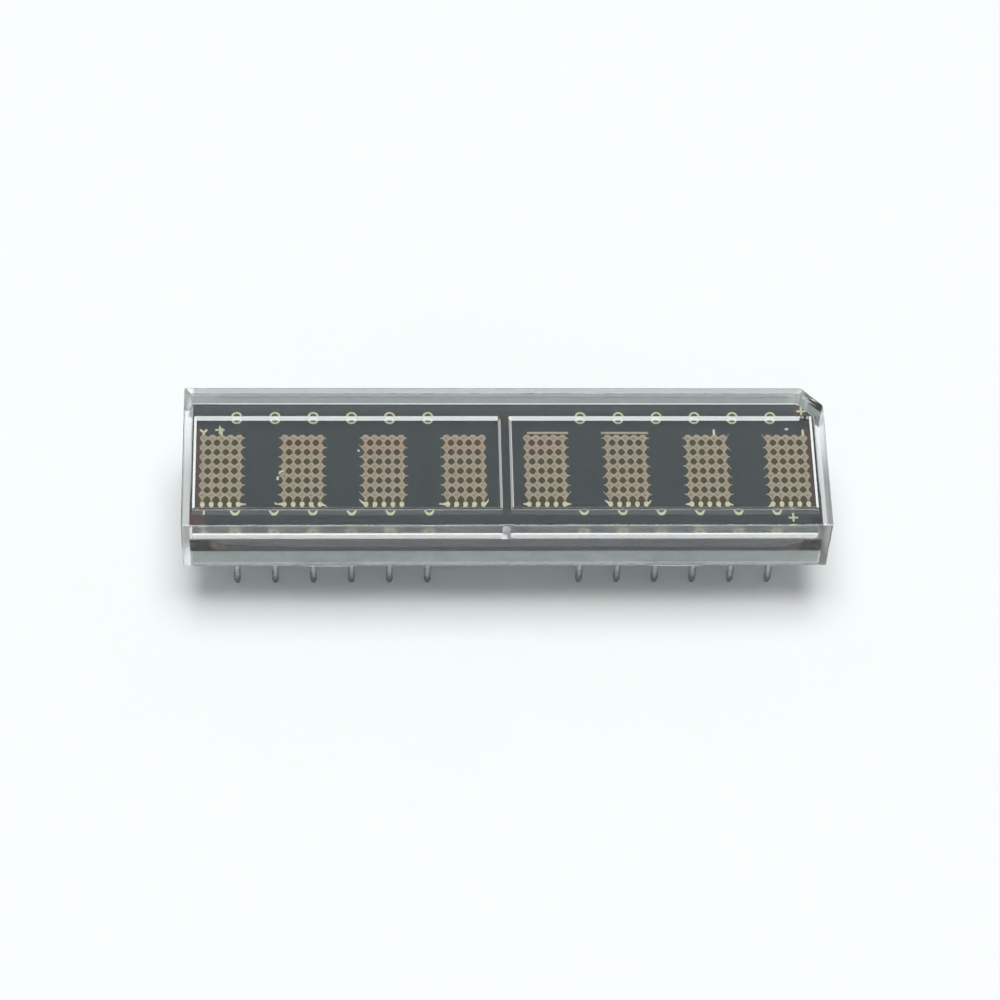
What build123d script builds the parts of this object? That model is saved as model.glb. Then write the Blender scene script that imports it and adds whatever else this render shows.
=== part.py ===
from build123d import *
import os

# Eight-character dot matrix LED display, in millimetres with +Z up.
# It stands on its pin tips: the origin is on that surface, under the middle of the body.
# +X runs along the line of characters, and the cut-off corner is at +X +Y.

# Clear cap
cap_length = 42.5
cap_width = 11.15
cap_height = 4.65
cap_wall = 0.52
cap_corner_cut = 1.4
cap_face_round = 0.14
plate_thickness = 1.885

# Pockets in the underside of the cap's plate, one over each half of the board
pocket_depth = 0.79
pocket_width = 7.76
pocket_end_land = 0.24
pocket_rib = 0.515
pocket_draft = 14.5

# Circuit board, pushed up against the far wall of the cap, so that it stands back from the near one
board_thickness = 1.5
board_edge_gap = 0.05
board_near_setback = 0.37

# Foil on the board, and the film of air that the cap's plate leaves over it
foil_thickness = 0.035
seat_gap = 0.02

# Characters, five columns by seven rows of dots; their pitch runs on to the next display in a line
character_count = 8
end_to_end_gap = 0.39
character_pitch = (cap_length + end_to_end_gap) / character_count
column_count = 5
row_count = 7
column_pitch = 0.587
row_pitch = 0.762

# Row conductors: a swelling for each chip with a tab towards the next row, and narrow necks between
crown_height = 0.26
crown_width = 0.2
neck_height = 0.23
tab_width = 0.16
tab_gap = 0.04
blunt_end = 0.27
tip_reach = 0.46

# Column bonding pads, below the last row
bond_pad_width = 0.3
bond_pad_height = 0.4
bond_tail_reach = 0.15
bond_tail_width = 0.1

# LED chips
led_side = 0.26
led_height = 0.2

# Bars of foil above two characters: how far each runs past the outer columns, left and right
bar_height = 0.16
bar_gap = 0.08
bar_overhangs = {5: (0, 0.4), 6: (0.42, 0.37)}

# Pins: flat blades with a pointed end, in two rows with the middle positions left out
pin_place_count = 15
empty_place_count = 3
pin_pitch = 2.54
pin_row_spacing = 7.62
pin_length = 4.75
pin_width = 0.46
pin_thickness = 0.25
pin_tip_length = 0.45
pin_tip_width = 0.22
pin_socket_depth = 1.0

# Round pads over the pins
ring_outer_radius = 0.39
ring_inner_radius = 0.22
ring_sides = 8

# Alignment crosses: two close to the first character's foil, and two in from the board's right-hand corners
cross_span = 0.62
cross_bar = 0.13
cross_gap = 0.1
cross_shift = 0.12
cross_insets = {-1: (1.87, 0.44), 1: (0.8, 0.58)}

# Potting
creep_height = 0.23
creep_end_length = 1.2
creep_ramp = 0.45
mound_height = 0.22
mound_width = 1.2
mound_rim_margin = 0.05
mound_slope = 50
mound_corner_radius = 0.45
mound_places = ((-11.8, 4.6), (11.2, 3.4))

# Driver chips on the back of the board
driver_length = 6.2
driver_width = 3.4
driver_height = 0.45

# Levels, from the pin tips up, and the board's middle line
body_bottom = pin_length
body_top = body_bottom + cap_height
plate_bottom = body_top - plate_thickness
board_top = plate_bottom - seat_gap - foil_thickness
board_bottom = board_top - board_thickness
board_middle_y = board_near_setback / 2
character_middle = (character_count - 1) / 2
half_characters = character_count // 2
half_spacing = half_characters * character_pitch

os.makedirs("parts", exist_ok=True)


def write(piece, name):
    """Labels one finished piece and writes it under its own name."""
    piece.part.label = name
    export_step(piece.part, f"parts/{name}.step")


def body_plan(inset):
    """The cap's outline seen from above, drawn in by inset all round, with its corner cut off."""
    with BuildSketch() as plan:
        Rectangle(cap_length, cap_width)
        chamfer(plan.vertices().group_by(Axis.X)[-1].sort_by(Axis.Y)[-1], length=cap_corner_cut)
        if inset:
            offset(amount=-inset, kind=Kind.INTERSECTION)
    return plan.sketch


def board_plan():
    """The board's outline: the cap's inside less a narrow gap, set back along the near side."""
    edge = cap_wall + board_edge_gap
    with BuildSketch() as plan:
        add(body_plan(edge))
        with Locations((0, board_near_setback)):
            Rectangle(cap_length, cap_width - 2 * edge, mode=Mode.INTERSECT)
    return plan.sketch


# Clear cap: a box open below, with two drafted pockets under its plate
with BuildPart() as lens_cover:
    with BuildSketch(Plane.XY.offset(body_bottom)):
        add(body_plan(0))
    extrude(amount=cap_height)
    fillet(lens_cover.faces().sort_by(Axis.Z)[-1].edges(), radius=cap_face_round)
    with BuildSketch(Plane.XY.offset(body_bottom)):
        add(body_plan(cap_wall))
    extrude(amount=cap_height - plate_thickness, mode=Mode.SUBTRACT)
    pocket_length = cap_length / 2 - cap_wall - pocket_end_land - pocket_rib / 2
    with BuildSketch(Plane.XY.offset(plate_bottom)) as pocket_mouths:
        with Locations(((pocket_rib + pocket_length) / 2, 0), (-(pocket_rib + pocket_length) / 2, 0)):
            Rectangle(pocket_length, pocket_width)
    extrude(amount=pocket_depth, taper=pocket_draft, mode=Mode.SUBTRACT)
write(lens_cover, "lens_cover")


def pin_places(row_side):
    """The filled pin positions of one row, from -X to +X; row_side is -1 for the near row."""
    first_empty = (pin_place_count - empty_place_count) // 2
    empty = range(first_empty, first_empty + empty_place_count)
    filled = [n for n in range(pin_place_count) if n not in empty]
    middle = (pin_place_count - 1) / 2
    y = board_middle_y + row_side * pin_row_spacing / 2
    return [((n - middle) * pin_pitch, y) for n in filled]


all_pin_places = pin_places(-1) + pin_places(1)
pin_socket_top = board_bottom + pin_socket_depth

# Circuit board, with a socket from below for each pin
with BuildPart() as circuit_board:
    with BuildSketch(Plane.XY.offset(board_bottom)):
        add(board_plan())
    extrude(amount=board_thickness)
    with BuildSketch(Plane.XY.offset(board_bottom)):
        with Locations(*all_pin_places):
            Rectangle(pin_width, pin_thickness)
    extrude(amount=pin_socket_depth, mode=Mode.SUBTRACT)
write(circuit_board, "circuit_board")

# Driver chips, one under each half of the board
driver_names = {-1: "driver_chip_left", 1: "driver_chip_right"}
for side, driver_name in driver_names.items():
    with BuildPart(Location((side * half_spacing / 2, board_middle_y, board_bottom))) as driver_chip:
        Box(driver_length, driver_width, driver_height, align=(Align.CENTER, Align.CENTER, Align.MAX))
    write(driver_chip, driver_name)

# Row conductors, bonding pads and LED chips
foil_top = board_top + foil_thickness
column_places = [(n - (column_count - 1) / 2) * column_pitch for n in range(column_count)]
row_places = [board_middle_y + ((row_count - 1) / 2 - n) * row_pitch for n in range(row_count)]
bond_pad_y = row_places[-1] - row_pitch


def row_outline(left_end, right_end):
    """Corners of one row conductor about its own middle: swellings in a chain, joined by necks."""
    tab_reach = row_pitch - crown_height - tab_gap
    upper = []
    lower = []
    for x in column_places:
        upper += [(x - crown_width / 2, crown_height), (x + crown_width / 2, crown_height)]
        lower += [(x - tab_width / 2, -tab_reach), (x + tab_width / 2, -tab_reach)]
        if x < column_places[-1]:
            upper.append((x + column_pitch / 2, neck_height / 2))
            lower.append((x + column_pitch / 2, -neck_height / 2))
    return upper + right_end + lower[::-1] + left_end


def row_end(side, pointed):
    """Corners that close a row conductor at one end; side is -1 for the left end."""
    if pointed:
        return [(side * (column_places[-1] + tip_reach), 0)]
    x = side * (column_places[-1] + blunt_end)
    return [(x, side * neck_height / 2), (x, -side * neck_height / 2)]


def bond_pad_outline():
    """Corners of a bonding pad about its own middle, drawn out to a short tail along +X."""
    tail_x = bond_pad_height / 2 + bond_tail_reach
    half_width = bond_pad_width / 2
    return [
        (-bond_pad_height / 2, -half_width),
        (bond_tail_width, -half_width),
        (tail_x, 0),
        (bond_tail_width, half_width),
        (-bond_pad_height / 2, half_width),
    ]


for index in range(character_count):
    number = index + 1
    middle_x = (index - character_middle) * character_pitch
    place_in_half = index % half_characters
    points_left = place_in_half != 0
    points_right = place_in_half != half_characters - 1
    outline = row_outline(row_end(-1, points_left), row_end(1, points_right))

    with BuildPart() as row_pads:
        with BuildSketch(Plane.XY.offset(board_top)):
            with Locations(*[(middle_x, y) for y in row_places]):
                Polygon(*outline, align=None)
        extrude(amount=foil_thickness)
    write(row_pads, f"row_pads_{number}")

    tail_turns = [-90] * column_count
    if points_left:
        tail_turns[0] = 180
    if points_right:
        tail_turns[-1] = 0
    with BuildPart() as column_pads:
        with BuildSketch(Plane.XY.offset(board_top)):
            for x, turn in zip(column_places, tail_turns):
                with Locations(Location((middle_x + x, bond_pad_y, 0), (0, 0, turn))):
                    Polygon(*bond_pad_outline(), align=None)
        extrude(amount=foil_thickness)
    write(column_pads, f"column_pads_{number}")

    with BuildPart() as led_chips:
        with BuildSketch(Plane.XY.offset(foil_top)):
            with Locations((middle_x, board_middle_y)):
                with GridLocations(column_pitch, row_pitch, column_count, row_count):
                    Rectangle(led_side, led_side)
        extrude(amount=led_height)
    write(led_chips, f"led_chips_{number}")

# Bars of foil above the first two characters of the right half
bar_y = row_places[0] + crown_height + bar_gap + bar_height / 2
with BuildPart() as trace_bars:
    with BuildSketch(Plane.XY.offset(board_top)):
        for number, (left_over, right_over) in bar_overhangs.items():
            bar_x = (number - 1 - character_middle) * character_pitch + (right_over - left_over) / 2
            with Locations((bar_x, bar_y)):
                Rectangle(column_places[-1] - column_places[0] + left_over + right_over, bar_height)
    extrude(amount=foil_thickness)
write(trace_bars, "trace_bars")

# Round pads over the pins
for row_name, row_side in {"near": -1, "far": 1}.items():
    with BuildPart() as ring_pads:
        with BuildSketch(Plane.XY.offset(board_top)):
            with Locations(*pin_places(row_side)):
                RegularPolygon(ring_outer_radius, ring_sides)
                RegularPolygon(ring_inner_radius, ring_sides, mode=Mode.SUBTRACT)
        extrude(amount=foil_thickness)
    write(ring_pads, f"ring_pads_{row_name}")

# Alignment crosses: above and below the first character, and by the near and far right-hand corners
board_half_length = cap_length / 2 - cap_wall - board_edge_gap
board_half_width = (cap_width - board_near_setback) / 2 - cap_wall - board_edge_gap
first_middle_x = -character_middle * character_pitch
upper_cross_y = row_places[0] + crown_height + cross_gap + cross_span / 2
lower_cross_y = bond_pad_y - bond_pad_height / 2 - bond_tail_reach - cross_gap - cross_span / 2
cross_places = [
    (first_middle_x - cross_shift, upper_cross_y),
    (first_middle_x + column_places[0] + cross_shift, lower_cross_y),
]
for side, (in_x, in_y) in cross_insets.items():
    cross_places.append((board_half_length - in_x, board_middle_y + side * (board_half_width - in_y)))
with BuildPart() as alignment_crosses:
    with BuildSketch(Plane.XY.offset(board_top)):
        with Locations(*cross_places):
            Rectangle(cross_span, cross_bar)
            Rectangle(cross_bar, cross_span)
    extrude(amount=foil_thickness)
write(alignment_crosses, "alignment_crosses")

# Potting: fills the cap below the board and creeps up round the board's edge, highest at the ends
inner_half_length = cap_length / 2 - cap_wall
creep_level = board_bottom + creep_height
end_step = inner_half_length - creep_end_length
ramp_foot = end_step - creep_ramp
mound_y = -cap_width / 2 + mound_rim_margin + mound_width / 2
with BuildPart() as potting:
    with BuildSketch(Plane.XZ):
        with BuildLine():
            right_profile = Polyline(
                (0, body_bottom),
                (inner_half_length, body_bottom),
                (inner_half_length, board_top),
                (end_step, board_top),
                (ramp_foot, creep_level),
                (0, creep_level),
            )
            mirror(right_profile, about=Plane.YZ)
        make_face()
    extrude(amount=cap_width / 2, both=True)
    with BuildSketch(Plane.XY.offset(body_bottom)):
        add(body_plan(cap_wall))
    extrude(amount=cap_height, mode=Mode.INTERSECT)
    with BuildSketch(Plane.XY.offset(board_bottom)):
        add(board_plan())
    extrude(amount=board_thickness, mode=Mode.SUBTRACT)
    for mound_x, mound_length in mound_places:
        with BuildSketch(Plane.XY.offset(body_bottom)):
            with Locations((mound_x, mound_y)):
                RectangleRounded(mound_length, mound_width, mound_corner_radius)
        extrude(amount=-mound_height, taper=mound_slope)
    with BuildSketch(Plane.XY.offset(body_bottom)):
        with Locations(*all_pin_places):
            Rectangle(pin_width, pin_thickness)
    extrude(amount=board_bottom - body_bottom, mode=Mode.SUBTRACT)
    with BuildSketch(Plane.XY.offset(board_bottom)):
        with Locations((-half_spacing / 2, board_middle_y), (half_spacing / 2, board_middle_y)):
            Rectangle(driver_length, driver_width)
    extrude(amount=-driver_height, mode=Mode.SUBTRACT)
write(potting, "potting")

# Pins, numbered round the body: the near row from -X, then the far row back from +X
near_numbers = [round(x / pin_pitch + (pin_place_count + 1) / 2) for x, y in pin_places(-1)]
far_numbers = [2 * pin_place_count + 1 - n for n in near_numbers]
for (x, y), number in zip(all_pin_places, near_numbers + far_numbers):
    blade_plane = Plane(origin=(x, y, 0), x_dir=(1, 0, 0), z_dir=(0, -1, 0))
    with BuildPart() as pin:
        with BuildSketch(blade_plane):
            with BuildLine():
                half_blade = Polyline(
                    (0, 0),
                    (pin_tip_width / 2, 0),
                    (pin_width / 2, pin_tip_length),
                    (pin_width / 2, pin_socket_top),
                    (0, pin_socket_top),
                )
                mirror(half_blade, about=Plane.YZ)
            make_face()
        extrude(amount=pin_thickness / 2, both=True)
    write(pin, f"pin_{number:02d}")
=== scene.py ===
import math
import random

import bmesh
import bpy
from mathutils import Matrix, Vector
from mathutils.geometry import tessellate_polygon


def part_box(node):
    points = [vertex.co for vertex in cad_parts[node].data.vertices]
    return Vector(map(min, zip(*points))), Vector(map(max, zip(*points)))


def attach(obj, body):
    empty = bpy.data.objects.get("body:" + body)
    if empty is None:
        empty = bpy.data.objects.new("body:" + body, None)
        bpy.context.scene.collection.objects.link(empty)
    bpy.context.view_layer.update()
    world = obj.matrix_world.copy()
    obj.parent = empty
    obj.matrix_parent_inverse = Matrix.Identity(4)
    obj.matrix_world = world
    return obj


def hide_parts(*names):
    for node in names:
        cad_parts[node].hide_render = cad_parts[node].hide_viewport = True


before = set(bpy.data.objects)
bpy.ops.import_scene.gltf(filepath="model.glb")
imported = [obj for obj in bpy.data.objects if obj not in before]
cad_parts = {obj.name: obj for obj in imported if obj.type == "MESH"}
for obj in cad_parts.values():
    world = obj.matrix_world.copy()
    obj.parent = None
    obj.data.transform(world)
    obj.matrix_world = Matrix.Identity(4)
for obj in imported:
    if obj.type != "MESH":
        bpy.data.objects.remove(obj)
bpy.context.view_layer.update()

# Circuit board
# A stiff laminate under dark green-grey lacquer, potted into the cap with the characters uppermost.
# The lacquer is left off under the characters and inside the pin rings, where the laminate shows brown.
mm = 0.001
board_low, board_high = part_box("circuit_board")
board_middle_y = (board_low.y + board_high.y) / 2
first_chips_low, first_chips_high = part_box("led_chips_1")
second_chips_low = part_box("led_chips_2")[0]
character_count = 8
column_count = 5
row_count = 7
led_side = 0.26 * mm
character_pitch = second_chips_low.x - first_chips_low.x
column_pitch = (first_chips_high.x - first_chips_low.x - led_side) / (column_count - 1)
row_pitch = (first_chips_high.y - first_chips_low.y - led_side) / (row_count - 1)
pin_pitch = 2.54 * mm
pin_row_spacing = 7.62 * mm
window_top = board_middle_y + (row_count - 1) / 2 * row_pitch + 0.25 * mm
window_bottom = board_middle_y - (row_count + 1) / 2 * row_pitch - 0.22 * mm
ring_opening = 0.24 * mm


def add_math(group, operation, first, second=None):
    """One arithmetic node in a node group; each input is a number or the output of another node."""
    node = group.nodes.new("ShaderNodeMath")
    node.operation = operation
    for socket, value in zip(node.inputs, (first, second)):
        if isinstance(value, (int, float)):
            socket.default_value = value
        elif value is not None:
            group.links.new(value, socket)
    return node.outputs[0]


def new_group(name, inputs, outputs):
    """A node group of number inputs, each with its usual value, and number outputs."""
    group = bpy.data.node_groups.new(name, "ShaderNodeTree")
    for input_name, usual in inputs.items():
        socket = group.interface.new_socket(input_name, in_out="INPUT", socket_type="NodeSocketFloat")
        socket.default_value = usual
    for output_name in outputs:
        group.interface.new_socket(output_name, in_out="OUTPUT", socket_type="NodeSocketFloat")
    return group, group.nodes.new("NodeGroupInput").outputs, group.nodes.new("NodeGroupOutput").inputs


def object_axes(group):
    """The X, Y and Z of a point on the object, in metres."""
    place = group.nodes.new("ShaderNodeTexCoord")
    parts = group.nodes.new("ShaderNodeSeparateXYZ")
    group.links.new(place.outputs["Object"], parts.inputs[0])
    return parts.outputs


def clamp(group, value):
    """Holds a value between 0 and 1."""
    return add_math(group, "MINIMUM", add_math(group, "MAXIMUM", value, 0), 1)


def make_mottling():
    """Soft mottling of a given size in millimetres, as a mask about one half."""
    group, given, result = new_group("Mottling", {"Size": 0.5}, ["Mask"])
    place = group.nodes.new("ShaderNodeTexCoord")
    noise = group.nodes.new("ShaderNodeTexNoise")
    noise.inputs["Roughness"].default_value = 0.6
    noise.inputs["Detail"].default_value = 4
    group.links.new(add_math(group, "DIVIDE", 1 / mm, given["Size"]), noise.inputs["Scale"])
    group.links.new(place.outputs["Object"], noise.inputs["Vector"])
    group.links.new(noise.outputs["Fac"], result["Mask"])
    return group


def make_windows():
    """A row of like rectangles along X, in metres, as a mask with soft edges.

    Shift moves the row by part of a pitch.
    """
    usual = {"Pitch": 1, "Shift": 0, "Half Width": 1, "Middle Y": 0, "Half Height": 1, "Softness": 1}
    group, given, result = new_group("Windows", usual, ["Mask"])
    axes = object_axes(group)
    pitches = add_math(group, "ADD", add_math(group, "DIVIDE", axes["X"], given["Pitch"]), given["Shift"])
    off_middle = add_math(group, "SUBTRACT", add_math(group, "FRACT", pitches), 0.5)
    across = add_math(group, "ABSOLUTE", add_math(group, "MULTIPLY", off_middle, given["Pitch"]))
    along = add_math(group, "ABSOLUTE", add_math(group, "SUBTRACT", axes["Y"], given["Middle Y"]))
    spare_x = add_math(group, "SUBTRACT", given["Half Width"], across)
    spare_y = add_math(group, "SUBTRACT", given["Half Height"], along)
    spare = add_math(group, "MINIMUM", spare_x, spare_y)
    soft = add_math(group, "DIVIDE", spare, given["Softness"])
    group.links.new(clamp(group, soft), result["Mask"])
    return group


mottling = make_mottling()
windows = make_windows()


def new_material(name):
    """A node material with its Principled BSDF; gives both."""
    material = bpy.data.materials.new(name)
    material.use_nodes = True
    return material, material.node_tree.nodes["Principled BSDF"]


def use_group(material, group, **values):
    """Puts a node group into a material with the given input values."""
    node = material.node_tree.nodes.new("ShaderNodeGroup")
    node.node_tree = group
    for name, value in values.items():
        node.inputs[name.replace("_", " ")].default_value = value
    return node


def mottle(material, size, low, high, socket=None):
    """Colours or values between two ends, spread by mottling of a given size in mm; gives the output."""
    links = material.node_tree.links
    source = use_group(material, mottling, Size=size)
    ramp = material.node_tree.nodes.new("ShaderNodeValToRGB")
    ramp.color_ramp.elements[0].position = 0.32
    ramp.color_ramp.elements[1].position = 0.68
    for element, value in zip(ramp.color_ramp.elements, (low, high)):
        element.color = (*value, 1) if isinstance(value, tuple) else (value, value, value, 1)
    links.new(source.outputs["Mask"], ramp.inputs["Fac"])
    if socket:
        links.new(ramp.outputs["Color"], socket)
    return ramp.outputs["Color"]


def blend(material, mask, lower, upper):
    """Mixes two colour outputs by a mask; gives the mixed colour."""
    mix = material.node_tree.nodes.new("ShaderNodeMix")
    mix.data_type = "RGBA"
    links = material.node_tree.links
    links.new(mask, mix.inputs["Factor"])
    links.new(lower, mix.inputs["A"])
    links.new(upper, mix.inputs["B"])
    return mix.outputs["Result"]


def patch(material, middle_x, middle_y, half_width, half_height, softness):
    """The mask of one soft-edged rectangle seen from above, all in mm."""
    whole = 200 * mm
    return use_group(
        material, windows, Pitch=whole, Shift=0.5 - middle_x * mm / whole, Half_Width=half_width * mm,
        Middle_Y=middle_y * mm, Half_Height=half_height * mm, Softness=softness * mm).outputs["Mask"]


def coat(node_name, material):
    """Gives one CAD node a material."""
    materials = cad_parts[node_name].data.materials
    materials.clear()
    materials.append(material)


board_lacquer, shader = new_material("board_lacquer")
shader.inputs["Roughness"].default_value = 0.5
lacquer = mottle(board_lacquer, 0.4, (0.026, 0.040, 0.044), (0.038, 0.054, 0.060))
laminate = mottle(board_lacquer, 0.08, (0.052, 0.038, 0.006), (0.095, 0.070, 0.018))
character_windows = use_group(
    board_lacquer, windows, Pitch=character_pitch, Half_Width=1.42 * mm, Softness=0.06 * mm,
    Middle_Y=(window_top + window_bottom) / 2, Half_Height=(window_top - window_bottom) / 2)
flushed_laminate = mottle(board_lacquer, 0.08, (0.085, 0.036, 0.014), (0.14, 0.066, 0.032))
reddish_top = patch(board_lacquer, -5.4, 2.4, 10.0, 0.7, 0.6)
open_laminate = blend(board_lacquer, reddish_top, laminate, flushed_laminate)
board_colour = blend(board_lacquer, character_windows.outputs["Mask"], lacquer, open_laminate)
stain = mottle(board_lacquer, 0.3, (0.07, 0.036, 0.030), (0.13, 0.066, 0.056))
# The dark navy patch at the near right corner is a painted dark reflection, not the lacquer's own colour.
painted_dark_reflection = mottle(board_lacquer, 0.3, (0.012, 0.016, 0.024), (0.020, 0.026, 0.036))
painted_reflection_corner = patch(board_lacquer, 20.6, -4.5, 0.7, 0.6, 0.3)
board_colour = blend(board_lacquer, painted_reflection_corner, board_colour, painted_dark_reflection)
stained_places = [
    (-20.4, -4.25, 0.7, 0.6, 0.3), (19.8, 4.5, 0.5, 0.45, 0.25),
    (-20.25, 0, 0.2, 3.4, 0.1), (20.25, 0, 0.2, 3.4, 0.1),
]
for stained_place in stained_places:
    board_colour = blend(board_lacquer, patch(board_lacquer, *stained_place), board_colour, stain)
for side in (-1, 1):
    ring_windows = use_group(
        board_lacquer, windows, Pitch=pin_pitch, Shift=0.5, Half_Width=ring_opening, Softness=0.08 * mm,
        Middle_Y=board_middle_y + side * pin_row_spacing / 2, Half_Height=ring_opening)
    board_colour = blend(board_lacquer, ring_windows.outputs["Mask"], board_colour, laminate)
board_lacquer.node_tree.links.new(board_colour, shader.inputs["Base Color"])
coat("circuit_board", board_lacquer)

# Driver chips
# Two bare silicon chips glued under the board, one for each half of the display.
silicon, shader = new_material("silicon")
shader.inputs["Metallic"].default_value = 0.4
shader.inputs["Roughness"].default_value = 0.25
mottle(silicon, 0.8, (0.09, 0.10, 0.12), (0.15, 0.16, 0.18), shader.inputs["Base Color"])
for name in ("driver_chip_left", "driver_chip_right"):
    coat(name, silicon)

# Row conductors
# Seven strips of gold foil under each character, each a chain of swellings that the chips stand on.
# The openings between the strips are rounded diamonds, and the strips' free ends run out to etched tips.
foil_low, foil_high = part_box("row_pads_1")
opening_half_width = 0.235 * mm
opening_half_height = 0.292 * mm
opening_power = 1.5
crown_height = 0.26 * mm
tab_reach = 0.462 * mm
arc_points = 9
column_places = [(n - (column_count - 1) / 2) * column_pitch for n in range(column_count)]
row_places = [board_middle_y + ((row_count - 1) / 2 - n) * row_pitch for n in range(row_count)]
etching = random.Random(7)


def flat_plates(outlines, low, high):
    """Points and faces of thin plates with upright edges; each outline runs anticlockwise."""
    points, faces = [], []
    for outline in outlines:
        start, count = len(points), len(outline)
        points += [(x, y, low) for x, y in outline] + [(x, y, high) for x, y in outline]
        faces.append([start + n for n in reversed(range(count))])
        faces.append([start + count + n for n in range(count)])
        for n in range(count):
            after = (n + 1) % count
            faces.append((start + n, start + after, start + count + after, start + count + n))
    return points, faces


def make_piece(name, points, faces, material, replaced=None):
    """Puts a new piece into the scene on the body, in place of a CAD node where one is named."""
    mesh = bpy.data.meshes.new(name)
    mesh.from_pydata(points, [], faces)
    mesh.validate()
    mesh.materials.append(material)
    piece = bpy.data.objects.new(name, mesh)
    bpy.context.collection.objects.link(piece)
    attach(piece, "root")
    if replaced:
        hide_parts(replaced)
        coat(replaced, material)
    return piece


def opening_arc(start_height):
    """The upper part of an opening's edge about its middle, right to left, above a height."""
    start = math.asin((start_height / opening_half_height) ** (opening_power / 2))
    arc = []
    for n in range(arc_points):
        angle = start + (math.pi - 2 * start) * n / (arc_points - 1)
        cosine = math.cos(angle)
        x = math.copysign(abs(cosine) ** (2 / opening_power), cosine) * opening_half_width
        arc.append((x, math.sin(angle) ** (2 / opening_power) * opening_half_height))
    return arc


def row_end(side, pointed, slant):
    """The outline that closes a row at one side, from its upper edge round to its lower; slant is in mm."""
    reach = etching.uniform(0.38, 0.46) if pointed else etching.uniform(0.25, 0.29)
    slant += etching.uniform(-0.04, 0.04) if pointed else 0
    upper = [(0.13, 0.26), (0.16, 0.19), (0.21, 0.12), (0.25, 0.065)]
    lower = [(0.25, -0.065), (0.21, -0.12), (0.16, -0.2), (0.1, -0.3), (0.08, -0.38), (0.1, -tab_reach / mm)]
    tip = [(reach, slant + 0.014), (reach, slant - 0.014)]
    return [(side * (column_places[-1] + x * mm), y * mm) for x, y in upper + tip + lower]


def row_outline(points_left, points_right, slant_left, slant_right):
    """One row conductor about its own middle, anticlockwise from the top of its left end."""
    left = row_end(-1, points_left, slant_left)
    right = row_end(1, points_right, slant_right)[::-1]
    lower, upper = [], []
    low_start = tab_reach - row_pitch / 2
    narrowing = (low_start / opening_half_height) ** opening_power
    low_x = opening_half_width * (1 - narrowing) ** (1 / opening_power)
    for x in column_places[:-1]:
        middle = x + column_pitch / 2
        below = [(low_x, -low_start)] + opening_arc(0) + [(-low_x, -low_start)]
        lower += [(middle + across, up - row_pitch / 2) for across, up in below[::-1]]
        above = opening_arc(row_pitch / 2 - crown_height)
        upper += [(middle + across, row_pitch / 2 - up) for across, up in above[::-1]]
    return left + lower + right + upper[::-1]


gold_foil, shader = new_material("gold_foil")
shader.inputs["Metallic"].default_value = 0.6
shader.inputs["Roughness"].default_value = 0.55
plain_foil = mottle(gold_foil, 0.1, (0.50, 0.42, 0.31), (0.74, 0.645, 0.50))
flushed_foil = mottle(gold_foil, 0.1, (0.54, 0.39, 0.30), (0.80, 0.60, 0.48))
flushed = patch(gold_foil, -5.4, 1.9, 10.0, 1.6, 1.5)
foil_colour = blend(gold_foil, flushed, plain_foil, flushed_foil)
gold_foil.node_tree.links.new(foil_colour, shader.inputs["Base Color"])
character_middles = [(n - (character_count - 1) / 2) * character_pitch for n in range(character_count)]
# Free ends that lean up or down, in mm, by character, row and side.
slants = {
    (1, 3, "R"): -0.2, (3, 2, "L"): 0.24, (3, 7, "L"): 0.24, (5, 7, "R"): 0.24, (6, 5, "L"): -0.24,
    (6, 7, "L"): 0.26, (7, 2, "L"): 0.22, (7, 2, "R"): -0.24, (7, 4, "R"): -0.24, (7, 5, "R"): -0.22,
    (7, 1, "R"): 0.34, (8, 1, "L"): 0.36, (8, 4, "L"): -0.24, (8, 5, "L"): -0.22,
}
for index, middle_x in enumerate(character_middles):
    number = index + 1
    place_in_half = index % (character_count // 2)
    points_left = place_in_half != 0
    points_right = place_in_half != character_count // 2 - 1
    outlines = []
    for row_number, row_y in enumerate(row_places, 1):
        left_slant, right_slant = (slants.get((number, row_number, side), 0) for side in "LR")
        outline = row_outline(points_left, points_right, left_slant, right_slant)
        outlines.append([(middle_x + x, row_y + y) for x, y in outline])
    points, faces = flat_plates(outlines, foil_low.z, foil_high.z)
    make_piece(f"etched_rows_{number}", points, faces, gold_foil, f"row_pads_{number}")
coat("trace_bars", gold_foil)

# Column bonding pads
# Small bright ovals below the last row, where each column's bond wire comes down, each with an etched tail.
gold_plating, shader = new_material("gold_plating")
shader.inputs["Metallic"].default_value = 0.2
shader.inputs["Roughness"].default_value = 0.35
mottle(gold_plating, 0.12, (0.92, 0.82, 0.56), (0.98, 0.92, 0.72), shader.inputs["Base Color"])
bond_pad_y = row_places[-1] - row_pitch
pad_half_width = 0.16 * mm
pad_half_height = 0.21 * mm
pad_steps = 16
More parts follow.
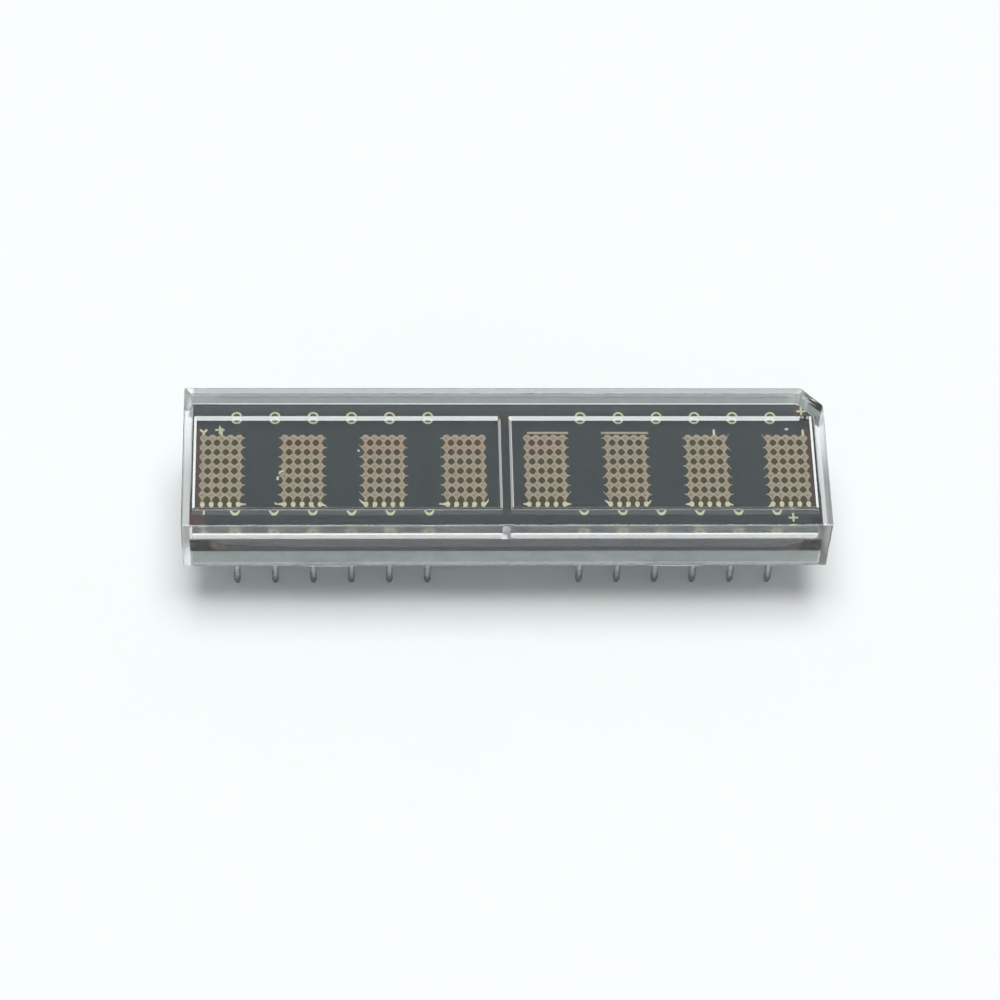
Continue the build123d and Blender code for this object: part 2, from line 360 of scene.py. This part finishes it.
# The tails of each character's five pads: x, y and half width in mm, from the pad's middle outwards.
down_tail = [(0, -0.27, 0.05), (0, -0.32, 0.02)]
tails = {
    1: [down_tail, down_tail, down_tail, [(0.1, -0.22, 0.05), (0.27, -0.36, 0.025)],
        [(0.28, 0, 0.07), (0.4, 0, 0.05), (0.46, 0, 0.09), (0.5, 0, 0.02)]],
    2: [[(-0.3, 0.02, 0.07), (-0.45, 0.0, 0.04), (-0.56, 0.05, 0.07), (-0.62, 0.14, 0.03)],
        down_tail, down_tail, [(0.12, -0.18, 0.07), (0.3, -0.36, 0.04)],
        [(0.26, -0.06, 0.06), (0.44, -0.2, 0.03)]],
    3: [[(-0.16, 0.08, 0.09), (-0.34, 0.24, 0.05), (-0.44, 0.4, 0.02)],
        [(-0.1, -0.24, 0.05), (-0.2, -0.3, 0.02)], down_tail, down_tail, down_tail],
    4: [[(-0.28, 0, 0.07), (-0.42, 0, 0.04), (-0.5, 0.03, 0.08), (-0.56, 0, 0.02)],
        [(-0.1, -0.2, 0.06), (-0.22, -0.34, 0.02)], [(-0.1, -0.2, 0.06), (-0.22, -0.33, 0.02)],
        [(-0.1, -0.2, 0.06), (-0.2, -0.3, 0.02)],
        [(0.14, 0.04, 0.08), (0.3, 0.24, 0.04), (0.33, 0.42, 0.02)]],
    5: [[(-0.26, 0, 0.06), (-0.4, 0.02, 0.03)], [(-0.1, -0.2, 0.06), (-0.2, -0.32, 0.02)],
        down_tail, down_tail, [(0.28, 0, 0.07), (0.42, 0, 0.03)]],
    6: [[(-0.14, 0.1, 0.08), (-0.36, 0.3, 0.03)], down_tail, [(-0.08, -0.22, 0.05), (-0.14, -0.32, 0.02)],
        down_tail, [(0.18, 0.08, 0.07), (0.34, 0.28, 0.03)]],
    7: [[(-0.28, -0.02, 0.06), (-0.42, -0.02, 0.03)], down_tail, down_tail,
        [(0.1, -0.22, 0.05), (0.16, -0.3, 0.02)], [(0.26, -0.04, 0.06), (0.4, -0.1, 0.03)]],
    8: [[(-0.16, -0.12, 0.07), (-0.34, -0.26, 0.03)], down_tail, down_tail, down_tail,
        [(0.06, -0.24, 0.05), (0.08, -0.32, 0.02)]],
}


def drawn_out_pad(middle, tail):
    """An oval pad drawn out into a tail, as an outline."""
    heading = math.atan2(tail[0][1], tail[0][0])
    opening = 0.55
    outline = []
    for n in range(pad_steps + 1):
        angle = heading + opening + (2 * math.pi - 2 * opening) * n / pad_steps
        outline.append((pad_half_width * math.cos(angle), pad_half_height * math.sin(angle)))
    right_side, left_side = [], []
    before = Vector((0, 0))
    for x, y, half in tail:
        here = Vector((x, y)) * mm
        step = (here - before).normalized()
        aside = Vector((step.y, -step.x)) * half * mm
        right_side.append(tuple(here + aside))
        left_side.append(tuple(here - aside))
        before = here
    outline += right_side + left_side[::-1]
    return [(middle[0] + x, middle[1] + y) for x, y in outline]


for index, middle_x in enumerate(character_middles):
    number = index + 1
    outlines = [
        drawn_out_pad((middle_x + x, bond_pad_y), tail) for x, tail in zip(column_places, tails[number])]
    points, faces = flat_plates(outlines, foil_low.z, foil_high.z)
    make_piece(f"bonding_pads_{number}", points, faces, gold_plating, f"column_pads_{number}")

# Stray traces
# Odd ends of bright gold that the etching has left above and beside some of the characters.
stray_half_width = 0.075 * mm
# Points in mm from the middle of the character with that number.
stray_traces = {
    1: [[(-1.17, 2.4), (-1.2, 2.75), (-1.42, 2.98)], [(-1.19, 2.72), (-0.98, 2.98)],
        [(0.0, 2.5), (0.0, 3.1)]],
    2: [[(-1.22, -0.36), (-1.46, -0.44), (-1.5, -0.62)], [(-1.62, -0.84), (-1.62, -1.1)]],
    3: [[(-1.66, 1.2), (-1.64, 1.34)]],
    7: [[(0.587, 2.5), (0.587, 2.98)]],
    8: [[(1.174, 2.5), (1.174, 2.98)], [(0.0, 2.98), (0.1, 3.04), (0.2, 2.98)]],
}


def foil_strip(places, half_width):
    """The outline of a strip of even width that follows a few points, anticlockwise."""
    right_side, left_side = [], []
    for n, here in enumerate(places):
        step = (places[min(n + 1, len(places) - 1)] - places[max(n - 1, 0)]).normalized() * half_width
        right_side.append((here.x + step.y, here.y - step.x))
        left_side.append((here.x - step.y, here.y + step.x))
    return right_side + left_side[::-1]


outlines = []
for number, traces in stray_traces.items():
    for trace in traces:
        places = [Vector((character_middles[number - 1] + x * mm, board_middle_y + y * mm)) for x, y in trace]
        outlines.append(foil_strip(places, stray_half_width))
points, faces = flat_plates(outlines, foil_low.z, foil_high.z)
make_piece("stray_traces", points, faces, gold_plating)

# Pin rings and alignment marks
# Thin bright gold rings round the tops of the pins, and four small crosses used to line up the chips.
ring_gold, shader = new_material("ring_gold")
shader.inputs["Metallic"].default_value = 0.4
shader.inputs["Roughness"].default_value = 0.4
mottle(ring_gold, 0.15, (0.70, 0.68, 0.44), (0.94, 0.93, 0.70), shader.inputs["Base Color"])
ring_outer_radius = 0.36 * mm
ring_inner_radius = 0.232 * mm
ring_sides = 36
filled_places = [n for n in range(-7, 8) if abs(n) > 1]
for row_name, side in {"near": -1, "far": 1}.items():
    ring_y = board_middle_y + side * pin_row_spacing / 2
    points, faces = [], []
    for place in filled_places:
        start = len(points)
        for level in (foil_low.z, foil_high.z):
            for radius in (ring_inner_radius, ring_outer_radius):
                for n in range(ring_sides):
                    angle = 2 * math.pi * n / ring_sides
                    x = place * pin_pitch + radius * math.cos(angle)
                    points.append((x, ring_y + radius * math.sin(angle), level))
        inner_low, outer_low, inner_high, outer_high = (start + k * ring_sides for k in range(4))
        for n in range(ring_sides):
            after = (n + 1) % ring_sides
            for first, second in ((inner_high, outer_high), (outer_high, outer_low),
                                  (outer_low, inner_low), (inner_low, inner_high)):
                faces.append((first + n, second + n, second + after, first + after))
    make_piece(f"pin_rings_{row_name}", points, faces, ring_gold, f"ring_pads_{row_name}")
coat("alignment_crosses", ring_gold)

# LED chips
# Sawn squares of semiconductor with bevelled tops, one bonded on each swelling.
led_semiconductor, shader = new_material("led_semiconductor")
shader.inputs["Roughness"].default_value = 0.35
mottle(led_semiconductor, 0.12, (0.42, 0.35, 0.26), (0.56, 0.48, 0.37), shader.inputs["Base Color"])
chip_bevel = 0.03 * mm
chip_low = foil_high.z
chip_high = chip_low + 0.09 * mm


def chip_block(middle_x, middle_y):
    """One chip, set cornerwise: upright sides and a bevelled top, as points and faces."""
    half = led_side / math.sqrt(2)
    points = []
    for reach, level in ((half, chip_low), (half, chip_high - chip_bevel), (half - chip_bevel, chip_high)):
        for across, along in ((0, -1), (1, 0), (0, 1), (-1, 0)):
            points.append((middle_x + across * reach, middle_y + along * reach, level))
    faces = [(3, 2, 1, 0), (8, 9, 10, 11)]
    for ring in (0, 4):
        for n in range(4):
            after = (n + 1) % 4
            faces.append((ring + n, ring + after, ring + 4 + after, ring + 4 + n))
    return points, faces


for index, middle_x in enumerate(character_middles):
    number = index + 1
    points, faces = [], []
    for x in column_places:
        for y in row_places:
            block_points, block_faces = chip_block(middle_x + x, y)
            faces += [tuple(len(points) + n for n in face) for face in block_faces]
            points += block_points
    make_piece(f"bonded_chips_{number}", points, faces, led_semiconductor, f"led_chips_{number}")

# Bond wires
# One fine gold wire hops from chip to chip down each column and ends on the column's bonding pad.
wire_gold, shader = new_material("wire_gold")
shader.inputs["Metallic"].default_value = 1
shader.inputs["Roughness"].default_value = 0.5
mottle(wire_gold, 0.2, (0.42, 0.34, 0.22), (0.56, 0.46, 0.32), shader.inputs["Base Color"])
wire_radius = 0.008 * mm
wire_sides = 5
wire_steps = 8
loop_height = 0.13 * mm


def wire_tube(start, end):
    """A wire that rises from one point and comes down on another, as points and faces."""
    points, faces = [], []
    for n in range(wire_steps + 1):
        part = n / wire_steps
        rise = loop_height * 4 * part * (1 - part) + wire_radius
        middle = start.lerp(end, part) + Vector((0, 0, rise))
        slope = math.atan2(loop_height * 4 * (1 - 2 * part) + end.z - start.z, start.y - end.y)
        for k in range(wire_sides):
            angle = 2 * math.pi * k / wire_sides
            across = wire_radius * math.cos(angle)
            out = wire_radius * math.sin(angle)
            points.append(middle + Vector((across, out * math.sin(slope), out * math.cos(slope))))
    for n in range(wire_steps):
        here, ahead = n * wire_sides, (n + 1) * wire_sides
        for k in range(wire_sides):
            after = (k + 1) % wire_sides
            faces.append((here + k, here + after, ahead + after, ahead + k))
    faces.append([k for k in reversed(range(wire_sides))])
    faces.append([wire_steps * wire_sides + k for k in range(wire_sides)])
    return points, faces


for index, middle_x in enumerate(character_middles):
    points, faces = [], []
    for x in column_places:
        stops = [Vector((middle_x + x, y, chip_high)) for y in row_places]
        stops.append(Vector((middle_x + x, bond_pad_y, foil_high.z)))
        for start, end in zip(stops, stops[1:]):
            tube_points, tube_faces = wire_tube(start, end)
            faces += [tuple(len(points) + n for n in face) for face in tube_faces]
            points += tube_points
    make_piece(f"bond_wires_{index + 1}", points, faces, wire_gold)

# Pins
# Flat blades with rolled edges, stamped to a point from plated strip and soldered into the board
# from below. Their flanks and points are painted darker, as painted shade.


def make_above():
    """A mask that rises from 0 at a level to 1 over a short height; in metres."""
    group, given, result = new_group("Above", {"Level": 0, "Rise": 1}, ["Mask"])
    over = add_math(group, "SUBTRACT", object_axes(group)["Z"], given["Level"])
    group.links.new(clamp(group, add_math(group, "DIVIDE", over, given["Rise"])), result["Mask"])
    return group


def copied_node(node_name, new_name):
    """A copy of a CAD node, free of its parent and keys, that can be reshaped."""
    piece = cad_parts[node_name].copy()
    piece.data = piece.data.copy()
    piece.parent = None
    for key in list(piece.keys()):
        del piece[key]
    bpy.context.collection.objects.link(piece)
    piece.name = new_name
    return piece


above = make_above()
pin_metal, shader = new_material("pin_metal")
shader.inputs["Metallic"].default_value = 1
mottle(pin_metal, 0.5, 0.2, 0.32, shader.inputs["Roughness"])
plated = mottle(pin_metal, 0.25, (0.62, 0.63, 0.62), (0.80, 0.81, 0.80))
# The darker colour on the flanks and below the points' level is painted shade, not bare metal.
painted_flank_shade = mottle(pin_metal, 0.25, (0.30, 0.31, 0.32), (0.42, 0.43, 0.44))
pin_middles = use_group(
    pin_metal, windows, Pitch=pin_pitch, Shift=0.5, Half_Width=0.13 * mm, Middle_Y=0,
    Half_Height=10 * mm, Softness=0.05 * mm).outputs["Mask"]
clear_of_tip_shade = use_group(pin_metal, above, Level=0.4 * mm, Rise=0.5 * mm).outputs["Mask"]
unshaded_pin_face = add_math(pin_metal.node_tree, "MULTIPLY", pin_middles, clear_of_tip_shade)
pin_colour = blend(pin_metal, unshaded_pin_face, painted_flank_shade, plated)
pin_metal.node_tree.links.new(pin_colour, shader.inputs["Base Color"])
pin_names = [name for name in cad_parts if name.startswith("pin_")]
for name in pin_names:
    blade = copied_node(name, f"rolled_{name}")
    blade.data.materials.clear()
    blade.data.materials.append(pin_metal)
    bevel = blade.modifiers.new("rolled_edges", "BEVEL")
    bevel.width = 0.1 * mm
    bevel.segments = 3
    bevel.limit_method = "ANGLE"
    bevel.angle_limit = math.radians(40)
    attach(blade, "root")
    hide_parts(name)
    coat(name, pin_metal)

# Potting
# Grey resin poured in from below. It wets the cap's walls, so no air lies between the two,
# climbs the near wall and runs over the rim in thin lips. It is stained dark red at the ends.
cap_low, cap_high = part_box("lens_cover")
cap_wall = 0.52 * mm
tolerance = 0.001 * mm
potting_resin, shader = new_material("potting_resin")
shader.inputs["Roughness"].default_value = 0.5
grey_resin = mottle(potting_resin, 0.9, (0.39, 0.43, 0.43), (0.49, 0.53, 0.53))
stained_resin = mottle(potting_resin, 0.4, (0.05, 0.028, 0.025), (0.22, 0.10, 0.08))
# The near-black resin above the gap's floor is painted shade of the gap, not the resin's own colour; the real
# dark red stain at the ends lies over it.
painted_gap_shade = mottle(potting_resin, 0.5, (0.008, 0.010, 0.011), (0.016, 0.020, 0.021))
# The pale resin is painted light: it lightens the far side, the ends and the near underside.
painted_light_resin = mottle(potting_resin, 0.5, (0.66, 0.70, 0.70), (0.78, 0.82, 0.82))
gap_shade_level = board_low.z + 0.22 * mm
over_rim = use_group(potting_resin, above, Level=cap_low.z + 0.10 * mm, Rise=0.08 * mm).outputs["Mask"]
gap_shade_and_stain_mask = use_group(potting_resin, above, Level=gap_shade_level, Rise=0.008 * mm).outputs["Mask"]
# Outside this plan, and along the near edge below the rim, the resin is painted pale as painted light.
inside = patch(potting_resin, 0, -50, 20.66, 54.95, 0.1)
near_edge = patch(potting_resin, 0, -10, 30, 5.1, 0.1)
lower_resin = blend(potting_resin, near_edge, grey_resin, painted_light_resin)
resin_colour = blend(potting_resin, over_rim, lower_resin, grey_resin)
resin_colour = blend(potting_resin, gap_shade_and_stain_mask, resin_colour, painted_gap_shade)
resin_colour = blend(potting_resin, inside, painted_light_resin, resin_colour)
resin_tree = potting_resin.node_tree
for end_x in (-20.5, 20.5):
    stained_end = patch(potting_resin, end_x, -50, 2.6, 49, 1.6)
    stained_skin = add_math(resin_tree, "MULTIPLY", stained_end, gap_shade_and_stain_mask)
    resin_colour = blend(potting_resin, stained_skin, resin_colour, stained_resin)
resin_tree.links.new(resin_colour, shader.inputs["Base Color"])
thin_resin, shader = new_material("thin_resin")
shader.inputs["Transmission Weight"].default_value = 0.7
shader.inputs["Roughness"].default_value = 0.5
mottle(thin_resin, 0.5, (0.82, 0.86, 0.86), (0.90, 0.93, 0.93), shader.inputs["Base Color"])

# The solid's own mounds are drawn in behind the rim, and its sides are pushed into the walls.
wetting_depth = 0.015 * mm
mound_draw_in = 0.2 * mm
mound_lift = 0.1 * mm
wall_inside_y = cap_high.y - cap_wall
potting = copied_node("potting", "potting_resin")
for vertex in potting.data.vertices:
    if vertex.co.y < -wall_inside_y - tolerance or vertex.co.z < cap_low.z - tolerance:
        vertex.co.y = max(vertex.co.y, mound_draw_in - wall_inside_y)
        vertex.co.z = max(vertex.co.z, cap_low.z) + mound_lift
    for axis in (0, 1):
        if abs(abs(vertex.co[axis]) - (cap_high[axis] - cap_wall)) < tolerance:
            vertex.co[axis] += math.copysign(wetting_depth, vertex.co[axis])
resin = bmesh.new()
resin.from_mesh(potting.data)

# Lips under the rim: middle x and y, half length, half width and height in mm, and which resin.
lip_steps_along, lip_steps_across = 28, 12
lip_gap = 0.002 * mm
near_lip_y = -cap_high.y / mm + 0.62
far_lip_y = cap_high.y / mm - 0.27
lips = [
    (-11.8, near_lip_y, 2.15, 0.6, 0.26, 1), (11.2, near_lip_y, 2.05, 0.6, 0.26, 1),
    # The far lip takes the painted light of the far side.
    (-0.9, far_lip_y, 20.1, 0.25, 0.03, 0),
]
for *sizes, resin_number in lips:
    lip_x, lip_y, half_long, half_wide, height = (value * mm for value in sizes)
    rows = []
    for i in range(lip_steps_along + 1):
        along = -math.cos(math.pi * i / lip_steps_along)
        row = []
        for k in range(lip_steps_across + 1):
            across = -math.cos(math.pi * k / lip_steps_across)
            sag = max(0, 1 - abs(along) ** 3) ** 0.6 * max(0, 1 - across ** 4) ** 0.3
            level = cap_low.z - lip_gap - sag * height
            row.append(resin.verts.new((lip_x + along * half_long, lip_y + across * half_wide, level)))
        rows.append(row)
    for i in range(lip_steps_along):
        for k in range(lip_steps_across):
            face = resin.faces.new((rows[i][k], rows[i][k + 1], rows[i + 1][k + 1], rows[i + 1][k]))
            face.smooth = True
            face.material_index = resin_number

# A skirt of resin stands on the floor of the gap beside the board and climbs the near wall.
# Above the gap's floor the skirt is painted near black, as painted shade of the gap.
gap_floor = board_low.z + 0.23 * mm
skirt_foot = 0.05 * mm
skirt_spread = 0.33 * mm
# Its x, and its height above the gap's floor, in mm.
climb = [
    (-20.65, 1.3), (-19.4, 1.3), (-18.6, 0.81), (-17.2, 0.64), (-15.9, 0.51), (-14, 0.41),
    (18.2, 0.41), (19.2, 0.91), (20.65, 1.3),
]
front_y = -wall_inside_y - wetting_depth
skirt = []
for x, height in climb:
    profile = [
        (front_y, gap_floor - skirt_foot), (front_y, gap_floor + height * mm),
        (front_y + skirt_spread, gap_floor),
    ]
    skirt.append([resin.verts.new((x * mm, y, z)) for y, z in profile])
for here, after in zip(skirt, skirt[1:]):
    for k in (0, 1):
        resin.faces.new((here[k], after[k], after[k + 1], here[k + 1]))
resin.to_mesh(potting.data)
resin.free()
potting.data.materials.clear()
for material in (potting_resin, thin_resin):
    potting.data.materials.append(material)
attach(potting, "root")
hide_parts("potting")
coat("potting", potting_resin)

# Clear cap
# One clear moulding, open below, with rounded outer edges and two shallow pockets under its plate.
# Its outer walls are faintly hazy, and the pockets' near walls are frosted.
clear_plastic, shader = new_material("clear_plastic")
shader.inputs["Transmission Weight"].default_value = 1
shader.inputs["IOR"].default_value = 1.55
mottle(clear_plastic, 4, (0.955, 0.975, 0.97), (0.975, 0.99, 0.985), shader.inputs["Base Color"])
half_length = cap_high.x
half_width = cap_high.y
corner_cut = 1.4 * mm
corner_round = 0.12 * mm
face_round = 0.1 * mm
plate_bottom = foil_high.z + 0.02 * mm
pocket_half_width = 3.88 * mm
pocket_rib = 0.515 / 2 * mm
pocket_ends = {-1: 20.59 * mm, 1: 20.51 * mm}
# A pocket's section, in mm: height above its mouth, and how far the near wall, ends and far wall come in.
# The near walls start with a broad bevel, and the ends meet the ceiling in a narrow one.
pocket_levels = [
    (0, -0.06, 0, 0), (0.30, 0.16, 0.01, 0.078), (0.62, 0.17, 0.02, 0.160), (0.79, 0.18, 0.19, 0.204),
]
face_round_steps = 6
corner_round_steps = 4


def make_satin_walls():
    """A mask of the body's four sides, as far in as Depth, in metres."""
    usual = {"Half Length": 1, "Half Width": 1, "Depth": 0.1}
    group, given, result = new_group("Satin Walls", usual, ["Mask"])
    axes = object_axes(group)
    past = []
    for axis, half in (("X", "Half Length"), ("Y", "Half Width")):
        out = add_math(group, "ABSOLUTE", axes[axis])
        wall = add_math(group, "SUBTRACT", given[half], given["Depth"])
        past.append(add_math(group, "GREATER_THAN", out, wall))
    group.links.new(add_math(group, "MAXIMUM", *past), result["Mask"])
    return group


clear_tree = clear_plastic.node_tree
outer_walls = use_group(
    clear_plastic, make_satin_walls(), Half_Length=half_length, Half_Width=half_width, Depth=0.02 * mm)
wall_haze = mottle(clear_plastic, 3, 0.15, 0.20)
satin = add_math(clear_tree, "MULTIPLY", outer_walls.outputs["Mask"], wall_haze)
# Unlike real frost, this shows only where the wall is seen squarely; at a slant it stays clear.
frost_roughness = 0.5
near_wall = patch(clear_plastic, 0, -3.81, 30, 0.15, 0.01)
bevel_start, bevel_end, wall_end = (
    use_group(clear_plastic, above, Level=plate_bottom + rise * mm, Rise=0.005 * mm).outputs["Mask"]
    for rise in (0.005, 0.29, 0.80))
tilt = clear_tree.nodes.new("ShaderNodeLayerWeight").outputs["Facing"]
bands = []
for low, high, most_tilt in ((bevel_start, bevel_end, 0.08), (bevel_end, wall_end, 0.4)):
    seen_squarely = add_math(clear_tree, "LESS_THAN", tilt, most_tilt)
    band = add_math(clear_tree, "SUBTRACT", low, high)
    bands.append(add_math(clear_tree, "MULTIPLY", band, seen_squarely))
frost = add_math(clear_tree, "MULTIPLY", add_math(clear_tree, "ADD", *bands), frost_roughness)
frosted = add_math(clear_tree, "MULTIPLY", near_wall, frost)
clear_tree.links.new(add_math(clear_tree, "MAXIMUM", satin, frosted), shader.inputs["Roughness"])


def cap_outline(inset, rounding, far_share=1):
    """The cap's plan, anticlockwise, with rounded corners, drawn in by inset, times far_share at the back."""
    x, near_y, far_y = half_length - inset, half_width - inset, half_width - inset * far_share
    cut = corner_cut - inset * (2 - math.sqrt(2))
    corners = [
        (-x, -near_y), (x, -near_y), (x, far_y - cut), (x - cut, far_y), (-x, far_y), (-x, far_y - cut)]
    outline = []
    for n, corner in enumerate(corners):
        here = Vector(corner)
        back = (Vector(corners[n - 1]) - here).normalized()
        ahead = (Vector(corners[(n + 1) % len(corners)]) - here).normalized()
        for step in range(corner_round_steps + 1):
            part = step / corner_round_steps
            outline.append(tuple(here + rounding * (back * (1 - part) ** 2 + ahead * part ** 2)))
    return outline


def ring_of(outline, level, far_drop=0):
    """The outline's points at one level, with those along its far edge a little lower."""
    far_start = max(y for _, y in outline) - 0.15 * mm
    return [(x, y, level - far_drop * (y > far_start)) for x, y in outline]


def bridge(first, second, count, faces, flipped=False):
    """Closes the band between two rings of points that start at the given numbers."""
    for n in range(count):
        after = (n + 1) % count
        quad = (first + n, first + after, second + after, second + n)
        faces.append(quad[::-1] if flipped else quad)


cap_points, cap_faces = [], []
outer_count = len(cap_outline(0, corner_round))
outer_levels = [(0, cap_low.z)]
for n in range(face_round_steps + 1):
    angle = math.pi / 2 * n / face_round_steps
    outer_levels.append((face_round * (1 - math.cos(angle)), cap_high.z - face_round * (1 - math.sin(angle))))
for inset, level in outer_levels:
    cap_points += ring_of(cap_outline(inset, corner_round), level)
# The face sinks a little along the far edge: inset in mm, its share at the back, and the drop in mm.
for inset, far_share, drop in ((0.35, 1.2, 0.08), (0.6, 1.23, 0)):
    cap_points += ring_of(cap_outline(inset * mm, corner_round, far_share), cap_high.z, drop * mm)
for n in range(len(outer_levels) + 1):
    bridge(n * outer_count, (n + 1) * outer_count, outer_count, cap_faces)
face_start = (len(outer_levels) + 1) * outer_count
cap_faces.append([face_start + n for n in range(outer_count)])
rim_start = len(cap_points)
inner_outline = cap_outline(cap_wall, 0.15 * mm)
cap_points += ring_of(inner_outline, cap_low.z)
bridge(rim_start, 0, outer_count, cap_faces)
under_start = len(cap_points)
cap_points += ring_of(inner_outline, plate_bottom)
bridge(under_start, rim_start, outer_count, cap_faces)
mouth_starts = []
for side in (-1, 1):
    mouth_starts.append(len(cap_points))
    for level in pocket_levels:
        rise, near_in, end_in, far_in = (value * mm for value in level)
        low_x, high_x = sorted((side * (pocket_rib + end_in), side * (pocket_ends[side] - end_in)))
        near_y, far_y = near_in - pocket_half_width, pocket_half_width - far_in
        corners = [(low_x, near_y), (high_x, near_y), (high_x, far_y), (low_x, far_y)]
        cap_points += ring_of(corners, plate_bottom + rise)
    for n in range(len(pocket_levels) - 1):
        start = mouth_starts[-1] + 4 * n
        bridge(start, start + 4, 4, cap_faces, flipped=True)
    cap_faces.append([mouth_starts[-1] + 4 * (len(pocket_levels) - 1) + n for n in reversed(range(4))])
loops = [inner_outline] + [[cap_points[start + n][:2] for n in range(4)] for start in mouth_starts]
numbers = [under_start + n for n in range(outer_count)]
numbers += [start + n for start in mouth_starts for n in range(4)]
for triangle in tessellate_polygon([[Vector((x, y, 0)) for x, y in loop] for loop in loops]):
    corners = [Vector(cap_points[numbers[n]]) for n in triangle]
    upward = (corners[1] - corners[0]).cross(corners[2] - corners[0]).z > 0
    face = [numbers[n] for n in triangle]
    cap_faces.append(face[::-1] if upward else face)
make_piece("moulded_cap", cap_points, cap_faces, clear_plastic, "lens_cover")

# Floor
# A sheet of plain white paper, two metres square, that takes the object's shadow.
floor_half = 1.0
corners = [(x * floor_half, y * floor_half, 0) for x, y in ((-1, -1), (1, -1), (1, 1), (-1, 1))]
floor_mesh = bpy.data.meshes.new("floor")
floor_mesh.from_pydata(corners, [], [(0, 1, 2, 3)])
floor = bpy.data.objects.new("floor", floor_mesh)
bpy.context.collection.objects.link(floor)
paper, shader = new_material("paper")
shader.inputs["Roughness"].default_value = 0.9
shader.inputs["Specular IOR Level"].default_value = 0.2
mottle(paper, 30, (0.785, 0.80, 0.80), (0.795, 0.81, 0.81), shader.inputs["Base Color"])
floor.data.materials.append(paper)

# Light
# A white room with a broad soft lamp overhead. At the back, the ceiling between wall and lamp is dimmer,
# so that the cap's face mirrors little and the board below it stays dark.
lamp_strength = 8.7
room_fill = 0.38
lamp_cut_by_glass = 0.95
world = bpy.data.worlds.new("white_room")
bpy.context.scene.world = world
world.use_nodes = True
sky = world.node_tree
background = sky.nodes["Background"]
background.inputs["Color"].default_value = (0.98, 1, 1, 1)
sky_place = sky.nodes.new("ShaderNodeTexCoord")
sky_parts = sky.nodes.new("ShaderNodeSeparateXYZ")
sky.links.new(sky_place.outputs["Generated"], sky_parts.inputs[0])


def sky_ramp(stops):
    """Brightness by height above the horizon; stops lists the sine of the elevation and the brightness."""
    ramp = sky.nodes.new("ShaderNodeValToRGB")
    ramp.color_ramp.elements[0].position = stops[0][0]
    ramp.color_ramp.elements[1].position = stops[-1][0]
    for place, _ in stops[1:-1]:
        ramp.color_ramp.elements.new(place)
    for element, (_, brightness) in zip(ramp.color_ramp.elements, stops):
        element.color = (brightness, brightness, brightness, 1)
    sky.links.new(sky_parts.outputs["Z"], ramp.inputs["Fac"])
    return ramp.outputs["Color"]


dimming = sky_ramp([(0.0, 0.0), (0.70, 0.0), (0.77, 0.58), (0.87, 0.58), (0.90, 0.3)])
far_side = add_math(sky, "GREATER_THAN", sky_parts.outputs["Y"], 0.1)
room_seen = add_math(sky, "SUBTRACT", 1, add_math(sky, "MULTIPLY", dimming, far_side))
path = sky.nodes.new("ShaderNodeLightPath").outputs
seen = add_math(sky, "MAXIMUM", path["Is Camera Ray"], path["Is Transmission Ray"])
seen = add_math(sky, "MAXIMUM", seen, path["Is Glossy Ray"])
room_light = add_math(sky, "MULTIPLY", add_math(sky, "SUBTRACT", 1, seen), room_fill)
room = add_math(sky, "ADD", add_math(sky, "MULTIPLY", seen, room_seen), room_light)
lamp = add_math(sky, "MULTIPLY", sky_ramp([(0.94, 0.0), (0.96, 1.0)]), lamp_strength)
off_camera = add_math(sky, "SUBTRACT", 1, path["Is Camera Ray"])
through_glass = add_math(sky, "MULTIPLY", path["Is Transmission Ray"], lamp_cut_by_glass)
lamp = add_math(sky, "MULTIPLY", lamp, add_math(sky, "SUBTRACT", off_camera, through_glass))
sky.links.new(add_math(sky, "ADD", room, lamp), background.inputs["Strength"])

# Camera
# It looks down at 55 degrees from a little left of the middle, through a long lens.
camera_data = bpy.data.cameras.new("camera")
camera = bpy.data.objects.new("camera", camera_data)
bpy.context.collection.objects.link(camera)
camera_data.lens = 142.49
camera_data.sensor_width = 36
camera_data.clip_start = 0.01
camera_data.clip_end = 10
heading = math.radians(4.087)
downward = math.radians(55.117)
roll = math.radians(3.315)
camera_place = Vector((-11.02, -150.98, 221.42)) * mm
forward = Vector((
    math.sin(heading) * math.cos(downward), math.cos(heading) * math.cos(downward), -math.sin(downward)))
level_right = Vector((math.cos(heading), -math.sin(heading), 0))
level_up = level_right.cross(forward)
right = math.cos(roll) * level_right + math.sin(roll) * level_up
up = math.cos(roll) * level_up - math.sin(roll) * level_right
turn = Matrix((right, up, -forward)).transposed()
camera.matrix_world = Matrix.Translation(camera_place) @ turn.to_4x4()
bpy.context.scene.camera = camera
bpy.context.scene.view_settings.view_transform = "Standard"
